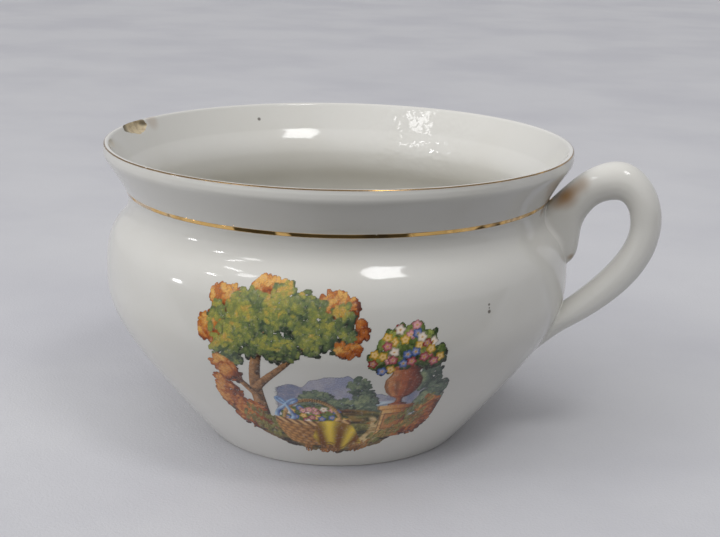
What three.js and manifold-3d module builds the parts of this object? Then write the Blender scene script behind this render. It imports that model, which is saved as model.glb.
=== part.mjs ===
// A glazed earthenware chamber pot with one loop handle, gilt lines and a printed vignette.
// Millimetres, +Z up. The origin is the centre of the foot on the table, and the handle points to +X.

import * as THREE from "three";
import { mergeVertices } from "three/addons/utils/BufferGeometryUtils.js";
import Module from "manifold-3d";

const wasm = await Module();
wasm.setup();

// Driving dimensions of the pot
const potHeight = 140;
const footRadius = 61.6; // outer edge of the ring that it stands on
const footRingWidth = 5;
const footRecess = 1.5; // how far the underside is sunk inside the ring
const heelRound = 1.2;
const floorThickness = 5;
const rimRadius = 110.1;
const bellyInset = 0.1; // how much less the belly stands out than the rim
const bellyRadius = rimRadius - bellyInset;
const neckInset = 10.9; // and the waist between the belly and the collar
const neckRadius = rimRadius - neckInset;
const collarRise = 26; // from the waist to the top of the lip
const neckHeight = potHeight - collarRise;
const shoulderRise = 33.2; // from the belly's widest line to the waist
const bellyHeight = neckHeight - shoulderRise;
const lipHeight = 6; // upright bead round the mouth
const lipBulge = 0.5; // how far the bead stands out over the collar
const lipBulgeRise = 2; // the height in which it swells out
const lipRound = 0.7; // over its outer edge
const lipFlare = 66; // slant of its inner face, in degrees above the horizon
const wall = 4;
const cornerRound = 9; // inside, how far from the wall the floor starts to turn up
const cornerRise = 6.3; // the least height over the floor at which that turn ends

// Curves of the pot's outline: directions in degrees above the horizon, pulls as shares of a run
const flankAngle = 49.85;
const flankPull = 0.79;
const bellyPullBelow = 0.185;
const bellyPullAbove = 0.8;
const neckPullBelow = 0.4;
const neckPullAbove = 0.245;
const collarAngle = 60;
const collarPull = 0.31;

// Gilding, laid in shallow seats so that it ends flush with the glaze
const giltDepth = 0.3;
const neckBandWidth = 1.8;
const neckBandRise = 4.4; // from the waist to the band's middle
const neckBandHeight = neckHeight + neckBandRise;

// Driving dimensions of the handle
const handleOut = 41.9; // from the rim to the handle's far side
const handleReach = rimRadius + handleOut;
const handleDrop = 2.2; // from the lip down to the handle's highest point
const handleTop = potHeight - handleDrop;
const apexOverhang = 22; // from the rim out to that point
const sideDrop = 28.8; // and from there down to where the handle is furthest out
const sideHeight = handleTop - sideDrop;
const upperRootDrop = 13.5; // below the waist
const upperRootAngle = 40.3;
const lowerRootDrop = 26; // below the belly's widest line
const lowerRootHeight = bellyHeight - lowerRootDrop;
const lowerRootAngle = 38.6;
const rootDepth = 4; // how far the handle's line runs into the wall before it is fitted to the pot
const upperPulls = [0.52, 0.36];
const turnPulls = [0.46, 0.4];
const lowerPulls = [0.334, 0.311];
const upperRootSection = { thickness: 18, width: 17 };
const apexSection = { thickness: 17.4, width: 17 };
const sideSection = { thickness: 14.5, width: 16 };
const lowerArmSection = { thickness: 11.8, width: 17 };
const lowerRootSection = { thickness: 12, width: 22 };
const flareStart = 0.62; // the share of the lower arm past which it opens out into the root
const turnHaste = 1.6; // the section is as thin as at the side before the turn ends
const sectionSquareness = 2.3; // 2 is an ellipse

// The pointed spur in which the handle's upper root runs out, down the shoulder
const spurDrop = 24.5; // from the waist to its tip
const spurTipHeight = neckHeight - spurDrop;
const spurRootSection = { thickness: 23, width: 16 };
const spurTipSection = { thickness: 4, width: 4 };
const spurStartOut = 3; // from the waist
const spurStartDrop = 2;
const spurBowOut = 5.8; // from the shoulder
const spurBowDrop = 13;
const spurBowHeight = neckHeight - spurBowDrop;

// Slip that lutes the handle to the pot, and the gaps beside it
const slipThickness = 0.8;
const slipBead = 0.7; // how far it is squeezed out round the root
const clearance = 0.3;

// The printed vignette
const printWidth = 109;
const printFootGap = 8.5; // from the table up to its lower edge
const printNeckGap = 8.5; // from its upper edge to the waist
const printHeight = neckHeight - printNeckGap - printFootGap;
const printCentreHeight = printFootGap + printHeight / 2;
const printAzimuth = -78.5; // degrees from the handle, seen from above
const printThickness = 0.3;

// The chip that is broken out of the lip's inner edge
const chipAzimuth = 175;
const chipLength = 26;
const chipDepth = 5;
const chipBite = 3.3; // how far it reaches across the lip from the middle of its hollow
const chipTurn = 20; // degrees that its floor slants

// Fineness of the curved faces
const turnSteps = 60;
const heelSteps = 2;
const flankSteps = 9;
const shoulderSteps = 8;
const bandFootSteps = 2; // on the collar below the gilt band
const collarSteps = 3;
const innerFlankSteps = 8;
const innerShoulderSteps = 6;
const roundSteps = 3; // over the lip's edge and the turn at the floor
const sectionSteps = 16;
const upperArmSteps = 12;
const turnOverSteps = 9;
const lowerArmSteps = 14;
const spurSteps = 9;
const ovalSteps = 36;
const chipSteps = { around: 14, down: 8 };
const halvings = 40; // of the search for a place on a curve
const weld = 1e-4; // points nearer than this are one

const glaze = { color: 0xdedcd4, roughness: 0.16, metalness: 0 };
const giltGold = { color: 0xb98a3c, roughness: 0.22, metalness: 1 };
const rawSlip = { color: 0xcfc8b8, roughness: 0.5, metalness: 0 };
const enamelPrint = { color: 0x9a8a58, roughness: 0.25, metalness: 0 };

const quarter = Math.PI / 2;
const vec = (x, y) => new THREE.Vector2(x, y);

function toward(from, degrees, length) {
  const angle = THREE.MathUtils.degToRad(degrees);
  return vec(from.x + length * Math.cos(angle), from.y + length * Math.sin(angle));
}

// The stretches of the pot's outline, with x as the radius and y as the height
function outlineCurves() {
  const heelEdge = vec(footRadius, 0);
  const heelEnd = toward(heelEdge, flankAngle, heelRound);
  const belly = vec(bellyRadius, bellyHeight);
  const neck = vec(neckRadius, neckHeight);
  const collarTop = vec(rimRadius - lipBulge, potHeight - lipHeight);
  const flankRun = heelEnd.distanceTo(belly);
  const collarRun = collarTop.y - neck.y;
  return {
    heel: new THREE.QuadraticBezierCurve(vec(footRadius - heelRound, 0), heelEdge, heelEnd),
    flank: new THREE.CubicBezierCurve(
      heelEnd,
      toward(heelEnd, flankAngle, flankPull * flankRun),
      vec(bellyRadius, bellyHeight - bellyPullBelow * bellyHeight),
      belly,
    ),
    shoulder: new THREE.CubicBezierCurve(
      belly,
      vec(bellyRadius, bellyHeight + bellyPullAbove * shoulderRise),
      vec(neckRadius, neckHeight - neckPullBelow * shoulderRise),
      neck,
    ),
    collar: new THREE.CubicBezierCurve(
      neck,
      vec(neckRadius, neckHeight + neckPullAbove * collarRun),
      toward(collarTop, collarAngle + 180, collarPull * collarTop.distanceTo(neck)),
      collarTop,
    ),
  };
}

const outline = outlineCurves();

// The place on a rising curve where it passes a height
function stationAt(curve, height) {
  let low = 0;
  let high = 1;
  for (let halving = 0; halving < halvings; halving++) {
    const middle = (low + high) / 2;
    if (curve.getPoint(middle).y < height) low = middle;
    else high = middle;
  }
  return (low + high) / 2;
}

function radiusAt(height) {
  const curve = [outline.flank, outline.shoulder, outline.collar].find(
    (piece) => height <= piece.getPoint(1).y,
  );
  return curve.getPoint(stationAt(curve, height)).x;
}

// Points of a curve between two stations, pushed outwards by a distance
function stretch(curve, steps, from = 0, to = 1, push = 0) {
  const points = [];
  for (let i = 0; i <= steps; i++) {
    const t = from + ((to - from) * i) / steps;
    const along = curve.getTangent(t);
    points.push(curve.getPoint(t).add(vec(along.y, -along.x).multiplyScalar(push)));
  }
  return points;
}

// A gilt line's face, flush with the glaze, and the floor of its seat, both from the lower edge upwards
function neckBandLine() {
  const edge = (height) => outline.collar.getPoint(stationAt(outline.collar, height));
  const lower = edge(neckBandHeight - neckBandWidth / 2);
  const upper = edge(neckBandHeight + neckBandWidth / 2);
  const along = upper.clone().sub(lower).normalize();
  const inward = vec(-along.y, along.x).multiplyScalar(giltDepth);
  return { face: [lower, upper], floor: [lower.clone().add(inward), upper.clone().add(inward)] };
}

// The one at the rim covers the round of the lip's outer edge
function rimLine() {
  const middle = vec(rimRadius - lipRound, potHeight - lipRound);
  const arc = (radius) => new THREE.EllipseCurve(middle.x, middle.y, radius, radius, 0, quarter);
  return {
    face: arc(lipRound).getPoints(roundSteps),
    floor: arc(lipRound - giltDepth).getPoints(roundSteps),
  };
}

// The outline's way round a gilt line's seat
const roundSeat = ({ face, floor }) => [face[0], ...floor, face[face.length - 1]];

// A profile spun round the pot's axis, as a surface whose ends lie on the axis or meet each other
function spun(points) {
  return new THREE.LatheGeometry(points, turnSteps).rotateX(quarter);
}

function withoutRepeats(points) {
  return points.filter((p, i) => i === 0 || p.distanceTo(points[i - 1]) > weld);
}

// A closed surface as a solid, less the triangles that shrink to nothing on the axis
function solidOf(geometry) {
  const bare = geometry.clone();
  bare.deleteAttribute("normal");
  bare.deleteAttribute("uv");
  const merged = mergeVertices(bare, weld);
  const corners = merged.index.array;
  const kept = [];
  for (let i = 0; i < corners.length; i += 3) {
    const [a, b, c] = corners.slice(i, i + 3);
    if (a !== b && b !== c && c !== a) kept.push(a, b, c);
  }
  return new wasm.Manifold(
    new wasm.Mesh({
      numProp: 3,
      vertProperties: new Float32Array(merged.attributes.position.array),
      triVerts: new Uint32Array(kept),
    }),
  );
}

function piece(name, solid, finish) {
  const made = solid.getMesh();
  const geometry = new THREE.BufferGeometry();
  geometry.setAttribute("position", new THREE.BufferAttribute(made.vertProperties, 3));
  geometry.setIndex(new THREE.BufferAttribute(made.triVerts, 1));
  geometry.computeVertexNormals();
  const mesh = new THREE.Mesh(geometry, new THREE.MeshStandardMaterial({ name, ...finish }));
  mesh.name = name;
  return mesh;
}

// The outside of the flank and the shoulder, pushed outwards by a distance
function bellySide(push) {
  return [
    ...stretch(outline.flank, flankSteps, 0, 1, push),
    ...stretch(outline.shoulder, shoulderSteps, 0, 1, push).slice(1),
  ];
}

// Everything within the pot's outline, pushed outwards by a distance
function potPlug(push) {
  const top = potHeight + push;
  return solidOf(
    spun([
      vec(0, -push),
      vec(footRadius - heelRound, -push),
      ...bellySide(push),
      ...stretch(outline.collar, bandFootSteps + collarSteps, 0, 1, push).slice(1),
      vec(rimRadius + push, potHeight - lipHeight + lipBulgeRise),
      vec(rimRadius + push, top),
      vec(0, top),
    ]),
  );
}

// A lens that bites the lip's inner edge
function chipLens() {
  const lens = new THREE.SphereGeometry(1, chipSteps.around, chipSteps.down);
  lens.scale(chipBite, chipLength / 2, chipDepth);
  lens.rotateY(THREE.MathUtils.degToRad(chipTurn));
  lens.translate(rimRadius - lipBulge - wall, 0, potHeight);
  return solidOf(lens.rotateZ(THREE.MathUtils.degToRad(chipAzimuth)));
}

// The inside from the lip's narrow top down to the middle of the floor
function insideProfile() {
  const floorTop = footRecess + floorThickness;
  const wallLine = [
    ...stretch(outline.flank, innerFlankSteps, 0, 1, -wall),
    ...stretch(outline.shoulder, innerShoulderSteps, 0, 1, -wall).slice(1),
    ...stretch(outline.collar, collarSteps, 0, 1, -wall).slice(1),
  ];
  const aboveCorner = wallLine.findIndex((p) => p.y > floorTop + cornerRise);
  const cornerEnd = wallLine[aboveCorner];
  const share = (floorTop - wallLine[0].y) / (cornerEnd.y - wallLine[0].y);
  const wallFoot = wallLine[0].clone().lerp(cornerEnd, share);
  const floorEdge = vec(wallFoot.x - cornerRound, floorTop);
  const corner = new THREE.QuadraticBezierCurve(cornerEnd, wallFoot, floorEdge);
  const lipFoot = wallLine[wallLine.length - 1];
  const slant = (potHeight - lipFoot.y) / Math.sin(THREE.MathUtils.degToRad(lipFlare));
  return [
    toward(lipFoot, lipFlare, slant),
    ...wallLine.slice(aboveCorner).reverse(),
    ...corner.getPoints(roundSteps),
    vec(0, floorTop),
  ];
}

function potBody() {
  const ringInner = footRadius - footRingWidth;
  const band = roundSeat(neckBandLine());
  const profile = [
    vec(0, footRecess),
    vec(ringInner - footRecess, footRecess),
    vec(ringInner, 0),
    ...outline.heel.getPoints(heelSteps),
    ...bellySide(0),
    ...stretch(outline.collar, bandFootSteps, 0, stationAt(outline.collar, band[0].y)),
    ...band,
    ...stretch(outline.collar, collarSteps, stationAt(outline.collar, band[3].y), 1),
    vec(rimRadius, potHeight - lipHeight + lipBulgeRise),
    ...roundSeat(rimLine()),
    ...insideProfile(),
  ];
  return solidOf(spun(withoutRepeats(profile))).subtract(chipLens());
}

// A ring that fills a gilt line's seat
function giltRing({ face, floor }) {
  return solidOf(spun([...face, ...floor.reverse(), face[0]]));
}

const blend = (a, b, share) => a + (b - a) * share;

// A solid that follows a line in the handle's plane with a section that changes along it
function loft(stations) {
  const rings = stations.map(({ point, along, thickness, width }) => {
    const ring = [];
    for (let k = 0; k < sectionSteps; k++) {
      const turn = (2 * Math.PI * k) / sectionSteps;
      const rounded = (value) => Math.sign(value) * Math.abs(value) ** (2 / sectionSquareness);
      const across = (rounded(Math.cos(turn)) * thickness) / 2;
      const sideways = (rounded(Math.sin(turn)) * width) / 2;
      ring.push(new THREE.Vector3(point.x + along.y * across, sideways, point.y - along.x * across));
    }
    return ring;
  });
  const corners = [];
  const add = (...points) => points.forEach((p) => corners.push(p.x, p.y, p.z));
  for (let i = 0; i + 1 < rings.length; i++)
    for (let k = 0; k < sectionSteps; k++) {
      const next = (k + 1) % sectionSteps;
      add(rings[i][k], rings[i + 1][next], rings[i + 1][k]);
      add(rings[i][k], rings[i][next], rings[i + 1][next]);
    }
  const last = rings.length - 1;
  for (let k = 1; k + 1 < sectionSteps; k++) {
    add(rings[0][0], rings[0][k + 1], rings[0][k]);
    add(rings[last][0], rings[last][k], rings[last][k + 1]);
  }
  const surface = new THREE.BufferGeometry();
  surface.setAttribute("position", new THREE.Float32BufferAttribute(corners, 3));
  return solidOf(surface);
}

// Stations along a curve on which the section eases from one size to another, and thins with haste
function eased(curve, steps, from, to, extra, haste = 1) {
  const stations = [];
  for (let i = 0; i <= steps; i++) {
    const share = i / steps;
    stations.push({
      point: curve.getPoint(share),
      along: curve.getTangent(share),
      thickness: blend(from.thickness, to.thickness, Math.min(1, haste * share)) + 2 * extra,
      width: blend(from.width, to.width, THREE.MathUtils.smoothstep(share, 0, 1)) + 2 * extra,
    });
  }
  return stations;
}

// The loop from the upper root over the apex and down to the lower root
function loop(extra) {
  const start = vec(neckRadius - rootDepth, neckHeight - upperRootDrop);
  const apex = vec(rimRadius + apexOverhang, handleTop - apexSection.thickness / 2);
  const side = vec(handleReach - sideSection.thickness / 2, sideHeight);
  const end = vec(radiusAt(lowerRootHeight) - rootDepth, lowerRootHeight);
  const upperChord = start.distanceTo(apex);
  const lowerChord = side.distanceTo(end);
  const upperArm = new THREE.CubicBezierCurve(
    start,
    toward(start, upperRootAngle, upperPulls[0] * upperChord),
    vec(apex.x - upperPulls[1] * upperChord, apex.y),
    apex,
  );
  const turn = new THREE.CubicBezierCurve(
    apex,
    vec(apex.x + turnPulls[0] * (side.x - apex.x), apex.y),
    vec(side.x, side.y + turnPulls[1] * (apex.y - side.y)),
    side,
  );
  const lowerArm = new THREE.CubicBezierCurve(
    side,
    vec(side.x, side.y - lowerPulls[0] * lowerChord),
    toward(end, lowerRootAngle, lowerPulls[1] * lowerChord),
    end,
  );
  const lower = eased(lowerArm, lowerArmSteps, sideSection, lowerArmSection, extra);
  lower.forEach((station, i) => {
    const flare = THREE.MathUtils.smoothstep(i / lowerArmSteps, flareStart, 1);
    station.thickness += flare * (lowerRootSection.thickness - lowerArmSection.thickness);
    station.width += flare * (lowerRootSection.width - lowerArmSection.width);
  });
  return loft([
    ...eased(upperArm, upperArmSteps, upperRootSection, apexSection, extra),
    ...eased(turn, turnOverSteps, apexSection, sideSection, extra, turnHaste).slice(1),
    ...lower.slice(1),
  ]);
}

function spur(extra) {
  const start = vec(neckRadius + spurStartOut, neckHeight - spurStartDrop);
  const bow = vec(radiusAt(spurBowHeight) + spurBowOut, spurBowHeight);
  const tip = vec(radiusAt(spurTipHeight), spurTipHeight);
  const line = new THREE.QuadraticBezierCurve(start, bow, tip);
  return loft(eased(line, spurSteps, spurRootSection, spurTipSection, extra));
}

const handleBlank = (extra) => loop(extra).add(spur(extra));

// The handle, fitted to the pot's double curve and clear of the slip
function handle() {
  return handleBlank(0).subtract(potPlug(2 * clearance + slipThickness));
}

// The two pads of slip between the handle's roots and the pot, the upper one first
function slipPads() {
  const skin = potPlug(clearance + slipThickness).subtract(potPlug(clearance));
  const pads = handleBlank(slipBead).intersect(skin).decompose();
  const middle = (solid) => (solid.boundingBox().min[2] + solid.boundingBox().max[2]) / 2;
  return pads.sort((a, b) => middle(b) - middle(a));
}

// A thin skin on the pot's flank, cut to an oval that is seen square-on from its own side
function printedVignette() {
  const inner = bellySide(clearance);
  const outer = bellySide(clearance + printThickness);
  const skin = solidOf(spun([...outer, ...inner.reverse(), outer[0]]));
  const oval = new THREE.Shape();
  oval.absellipse(0, printCentreHeight, printWidth / 2, printHeight / 2, 0, 2 * Math.PI);
  const cutter = new THREE.ExtrudeGeometry(oval, {
    depth: 2 * bellyRadius,
    bevelEnabled: false,
    curveSegments: ovalSteps,
  });
  cutter.rotateX(quarter).rotateZ(THREE.MathUtils.degToRad(printAzimuth + 90));
  return skin.intersect(solidOf(cutter));
}

const [upperSlip, lowerSlip] = slipPads();

const vessel = new THREE.Group();
vessel.add(piece("pot_body", potBody(), glaze));

const handleGroup = new THREE.Group();
handleGroup.add(
  piece("handle", handle(), glaze),
  piece("upper_slip_joint", upperSlip, rawSlip),
  piece("lower_slip_joint", lowerSlip, rawSlip),
);

const decoration = new THREE.Group();
decoration.add(
  piece("gilt_rim_line", giltRing(rimLine()), giltGold),
  piece("gilt_neck_band", giltRing(neckBandLine()), giltGold),
  piece("printed_vignette", printedVignette(), enamelPrint),
);

const chamberPot = new THREE.Group();
chamberPot.add(vessel, handleGroup, decoration);

export default chamberPot;
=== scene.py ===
# A white glazed chamber pot with one handle, gilt lines and a printed garden vignette.
# Lengths are in millimetres until a mesh is made, and angles in degrees. The handle points to +X.
import math

import bpy
import numpy as np
from mathutils import Matrix, Vector


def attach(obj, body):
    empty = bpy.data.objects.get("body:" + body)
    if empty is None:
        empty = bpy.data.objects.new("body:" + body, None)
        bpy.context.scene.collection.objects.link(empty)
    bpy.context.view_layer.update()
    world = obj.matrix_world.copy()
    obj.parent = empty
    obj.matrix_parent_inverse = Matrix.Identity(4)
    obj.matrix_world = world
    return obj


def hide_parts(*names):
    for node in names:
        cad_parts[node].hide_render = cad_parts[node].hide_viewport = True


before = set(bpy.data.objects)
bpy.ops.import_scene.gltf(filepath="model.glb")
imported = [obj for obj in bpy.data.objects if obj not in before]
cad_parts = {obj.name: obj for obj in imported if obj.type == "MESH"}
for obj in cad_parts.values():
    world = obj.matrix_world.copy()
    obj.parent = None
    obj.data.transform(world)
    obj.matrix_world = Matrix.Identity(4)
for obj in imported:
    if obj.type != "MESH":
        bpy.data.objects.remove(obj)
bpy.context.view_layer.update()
print("frame loaded")

# Curves and meshes


def bezier(points, count):
    # that many places on the curve of that degree: each control point weighed by its binomial share
    points, t = np.asarray(points, float), np.linspace(0, 1, count)[:, None]
    degree = len(points) - 1
    return sum(math.comb(degree, k) * t**k * (1 - t) ** (degree - k) * p for k, p in enumerate(points))


def unit(v):
    return v / np.maximum(np.linalg.norm(v, axis=-1, keepdims=True), 1e-9)


def toward(start, angle, length):
    a = math.radians(angle)
    return np.array([start[0] + length * math.cos(a), start[1] + length * math.sin(a)])


def smooth(x, low, high):
    # 0 below low and 1 above high, with a soft start and end
    x = np.clip((x - low) / (high - low), 0, 1)
    return x * x * (3 - 2 * x)


def soft(x, reach):
    return smooth(x, -reach, reach)


def along(points):
    # length run along a line of points, or along each column of a sheet of them
    steps = np.linalg.norm(np.diff(points, axis=0), axis=-1)
    return np.concatenate([np.zeros_like(steps[:1]), np.cumsum(steps, axis=0)])


def evenly(rows, count, line=None):
    # the same rows of numbers spread evenly, along themselves or along a line that belongs to them
    run = along(rows if line is None else line)
    at = np.linspace(0, run[-1], count)
    return np.stack([np.interp(at, run, column) for column in rows.T], 1)


def atRun(sheet, run, wanted):
    # places at the wanted lengths along each column of a sheet, by straight steps between its rows
    row = np.clip((run[None] <= wanted[:, None]).sum(1) - 1, 0, len(sheet) - 2)
    pick = np.arange(sheet.shape[1])
    share = (wanted - run[row, pick]) / (run[row + 1, pick] - run[row, pick])
    return sheet[row, pick] + share[..., None] * (sheet[row + 1, pick] - sheet[row, pick])


def polar(r, azimuth, z):
    # a place from its distance from the axis, its direction in degrees and its height
    a = np.radians(azimuth)
    return np.stack([r * np.cos(a), r * np.sin(a), z], -1)


def gridFaces(rows, columns, closed=True):
    # the squares between neighbouring rows and columns, joined round where the rows are rings
    ring = columns if closed else columns - 1
    i, j = np.meshgrid(np.arange(rows - 1), np.arange(ring), indexing="ij")
    i, j = i.ravel(), j.ravel()
    k = (j + 1) % columns
    above, below = i * columns, (i + 1) * columns
    return np.stack([above + j, above + k, below + k, below + j], 1)


def fan(ring, middle):
    # triangles from a ring of vertex numbers to one vertex
    return np.stack([ring, np.roll(ring, -1), np.full(len(ring), middle)], 1)


def addObject(name, data):
    thing = bpy.data.objects.new(name, data)
    bpy.context.scene.collection.objects.link(thing)
    return thing


def addMesh(name, points, quads, triangles=(), attributes=None):
    # a mesh from whole arrays, in metres, with smooth faces
    points = np.asarray(points, np.float32) / 1000
    triangles = np.asarray(triangles, np.int32).reshape(-1, 3)
    corners = np.concatenate([np.asarray(quads, np.int32).ravel(), triangles.ravel()])
    sizes = np.concatenate([np.full(len(quads), 4), np.full(len(triangles), 3)]).astype(np.int32)
    starts = np.concatenate([[0], np.cumsum(sizes)[:-1]]).astype(np.int32)
    mesh = bpy.data.meshes.new(name)
    mesh.vertices.add(len(points))
    mesh.vertices.foreach_set("co", points.ravel())
    mesh.loops.add(len(corners))
    mesh.loops.foreach_set("vertex_index", corners)
    mesh.polygons.add(len(sizes))
    mesh.polygons.foreach_set("loop_start", starts)
    mesh.polygons.foreach_set("use_smooth", np.ones(len(sizes), bool))
    mesh.update(calc_edges=True)
    mesh.validate()
    for key, values in (attributes or {}).items():
        values = np.asarray(values, np.float32)
        kind, field = ("FLOAT", "value") if values.ndim == 1 else ("FLOAT_COLOR", "color")
        mesh.attributes.new(key, kind, "POINT").data.foreach_set(field, values.ravel())
    return addObject(name, mesh)


def addClosed(name, rings, poles, attributes=None):
    # a mesh from rings of points, closed by a fan of triangles to a pole at each end
    rows, columns = rings.shape[:2]
    first, last = np.arange(columns), np.arange(columns) + (rows - 1) * columns
    triangles = np.concatenate([fan(first[::-1], rows * columns), fan(last, rows * columns + 1)])
    points = np.concatenate([rings.reshape(-1, 3), poles])
    return addMesh(name, points, gridFaces(rows, columns), triangles, attributes)


def onBody(piece, slot, *nodes):
    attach(piece, "root")
    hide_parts(*nodes)
    return piece


# The pot's outline, as radius and height

pot = {
    "height": 140,
    "footRadius": 61.6,
    "footRing": 5,  # width of the ring that it stands on
    "footStep": ((-3.2, 1), (-1.3, 0.8)),  # the recess's edge: way from the ring, share of its depth
    "footRecess": 1.5,
    "heelRound": 1.2,
    "floor": 5,
    "bellyRadius": 110,
    "bellyHeight": 80.8,
    "waistRadius": 99.2,
    "waistHeight": 114,
    "rimRadius": 110.1,
    "lip": 6,  # height of the bead round the mouth
    "lipBulge": 0.5,
    "lipEdge": 0.9,  # roundness of its outer top edge, where the gilt line lies
    "lipLean": 0.2,  # how far the bead leans in up to that edge
    "beadTurn": 8,  # degrees, between the collar's end and the bead's start
    "beadPulls": (1.6, 1.2, 1, 0.5),  # from the collar's end to its swell, and from there to the edge
    "mouthRadius": 107.9,
    "mouthSlant": 62,  # of the inner face, which is straight down to mouthFoot
    "mouthFoot": 127,
    "wall": 4,
    "flankAngle": 49.85,
    "flankPull": 0.79,
    "bellyPulls": (0.185, 0.8),
    "waistPulls": (0.4, 0.245),
    "collarAngle": 60,
    "collarPull": 0.31,
    "uneven": 0.22,  # how far the wall sinks in its low places
    "columns": 316,
    "chipReach": 10.5,  # degrees to each side of the chip where columns lie closer, and how much
    "chipGain": 7,
}
lipCentre = np.array([
    pot["rimRadius"] - pot["lipLean"] - pot["lipEdge"],
    pot["height"] - pot["lipEdge"] - 0.05,
])


def wallCurves():
    # the flank, the shoulder and the collar, each one cubic curve
    heelEnd = toward((pot["footRadius"], 0.0), pot["flankAngle"], pot["heelRound"])
    belly = np.array([pot["bellyRadius"], pot["bellyHeight"]])
    waist = np.array([pot["waistRadius"], pot["waistHeight"]])
    top = np.array([pot["rimRadius"] - pot["lipBulge"], pot["height"] - pot["lip"]])
    rise, collar = waist[1] - belly[1], top[1] - waist[1]
    leave = toward(heelEnd, pot["flankAngle"], pot["flankPull"] * np.linalg.norm(belly - heelEnd))
    arrive = toward(top, pot["collarAngle"] + 180, pot["collarPull"] * np.linalg.norm(top - waist))
    (a, b), (c, d) = pot["bellyPulls"], pot["waistPulls"]
    return (
        bezier([heelEnd, leave, belly - (0, a * belly[1]), belly], 54),
        bezier([belly, belly + (0, b * rise), waist - (0, c * rise), waist], 36),
        bezier([waist, waist + (0, d * collar), arrive, top], 22),
    )


def outerLine():
    # a round heel, the wall's three curves, the bead that swells round the mouth, and its edge, a
    # quarter circle about lipCentre
    flank, shoulder, collar = wallCurves()
    heel = np.array([pot["footRadius"], 0.0])
    heelRound = bezier([heel - (pot["heelRound"], 0), heel, flank[0]], 7)
    top, swell = collar[-1], np.array([pot["rimRadius"], pot["height"] - pot["lip"] * 0.5])
    a, b, c, d = pot["beadPulls"]
    leave = toward(top, pot["collarAngle"] + pot["beadTurn"], a)
    bead = bezier([top, leave, swell - (0, b), swell], 9)
    turn = np.linspace(0, math.pi / 2, 10)[:, None]
    edge = lipCentre + pot["lipEdge"] * np.concatenate([np.cos(turn), np.sin(turn)], 1)
    lean = bezier([swell, swell + (0, c), edge[0] - (0, d), edge[0]], 6)
    above = flank, shoulder, collar, bead, lean, edge
    return np.concatenate([heelRound] + [part[1:] for part in above])


outer = outerLine()
outerRise = np.argsort(outer[:, 1], kind="stable")


def sway(azimuth, z):
    # how far the wall lies under its true circle: a few slow waves round the pot and up it
    a = np.radians(azimuth)
    waves = np.sin(2 * a + 0.7) + 0.6 * np.sin(3 * a + z / 23 + 2.1)
    waves = waves + 0.4 * np.sin(5 * a - z / 31 + 4.0)
    fade = smooth(z, 4, 30) * (1 - 0.6 * smooth(z, 118, 136))
    return -pot["uneven"] * fade * (0.5 + waves / 4)


def wallRadius(azimuth, z):
    return np.interp(z, outer[outerRise, 1], outer[outerRise, 0]) + sway(azimuth, z)


def wallPoint(azimuth, z, out=0.0):
    # a place on the pot's outside, moved out along the wall's own normal
    azimuth, z = np.broadcast_arrays(np.asarray(azimuth, float), np.asarray(z, float))
    step = 0.4
    lean = (wallRadius(azimuth, z + step) - wallRadius(azimuth, z - step)) / (2 * step)
    level = 1 / np.sqrt(1 + lean**2)
    return polar(wallRadius(azimuth, z) + out * level, azimuth, z - out * lean * level)


def wallNormal(points):
    azimuth = np.degrees(np.arctan2(points[..., 1], points[..., 0]))
    return unit(wallPoint(azimuth, points[..., 2], 1.0) - wallPoint(azimuth, points[..., 2], 0.0))


def outside(points):
    # how far points stand off the wall, measured square to it
    azimuth = np.degrees(np.arctan2(points[..., 1], points[..., 0]))
    foot = wallPoint(azimuth, points[..., 2])
    return ((points - foot) * wallNormal(points)).sum(-1)


def innerLine():
    # the flank and the shoulder moved in by the wall, joined to the floor by a quadratic curve and to
    # the mouth's straight face by a cubic one
    flank, shoulder, _ = wallCurves()
    line = np.concatenate([flank, shoulder[1:]])
    d = unit(np.gradient(line, axis=0))
    line = line + np.stack([-d[:, 1], d[:, 0]], 1) * pot["wall"]
    floorTop = pot["footRecess"] + pot["floor"]
    start = np.argmax(line[:, 1] > floorTop + 8)
    foot = np.array([line[np.argmax(line[:, 1] > floorTop), 0], floorTop])
    corner = bezier([foot - (10, 0), foot, line[start]], 12)
    lip, slant = np.array([pot["mouthRadius"], pot["height"]]), pot["mouthSlant"]
    drop = pot["height"] - pot["mouthFoot"]
    face = toward(lip, slant + 180, drop / math.sin(math.radians(slant)))
    rise = face[1] - line[-1, 1]
    bend = [line[-1], line[-1] + (0, 0.4 * rise), toward(face, slant + 172, 0.35 * rise), face]
    straight = np.linspace(face, toward(lip, slant + 180, 1.1), 30)
    return np.concatenate([corner, line[start + 1 :], bezier(bend, 16)[1:], straight[1:]])


def lipTop(inner):
    # a soft arch from the gilt edge over to the inside
    a, b = outer[-1], inner[-1]
    corner = np.array([pot["mouthRadius"], a[1]])
    return bezier([a, (a + corner) / 2, corner, b], 12)[1:-1]


chip = {
    "azimuth": 175.7,
    "radius": 105,
    "height": 141.2,
    "length": 28,  # along the rim
    "across": 4.65,
    "depth": 5.9,
    "dip": 0.13,  # how much deeper it goes towards its far end
    "slant": 0.05,  # of its length, off the rim's own direction
    "squareness": 2.6,
    "ragged": 0.1,
}


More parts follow.
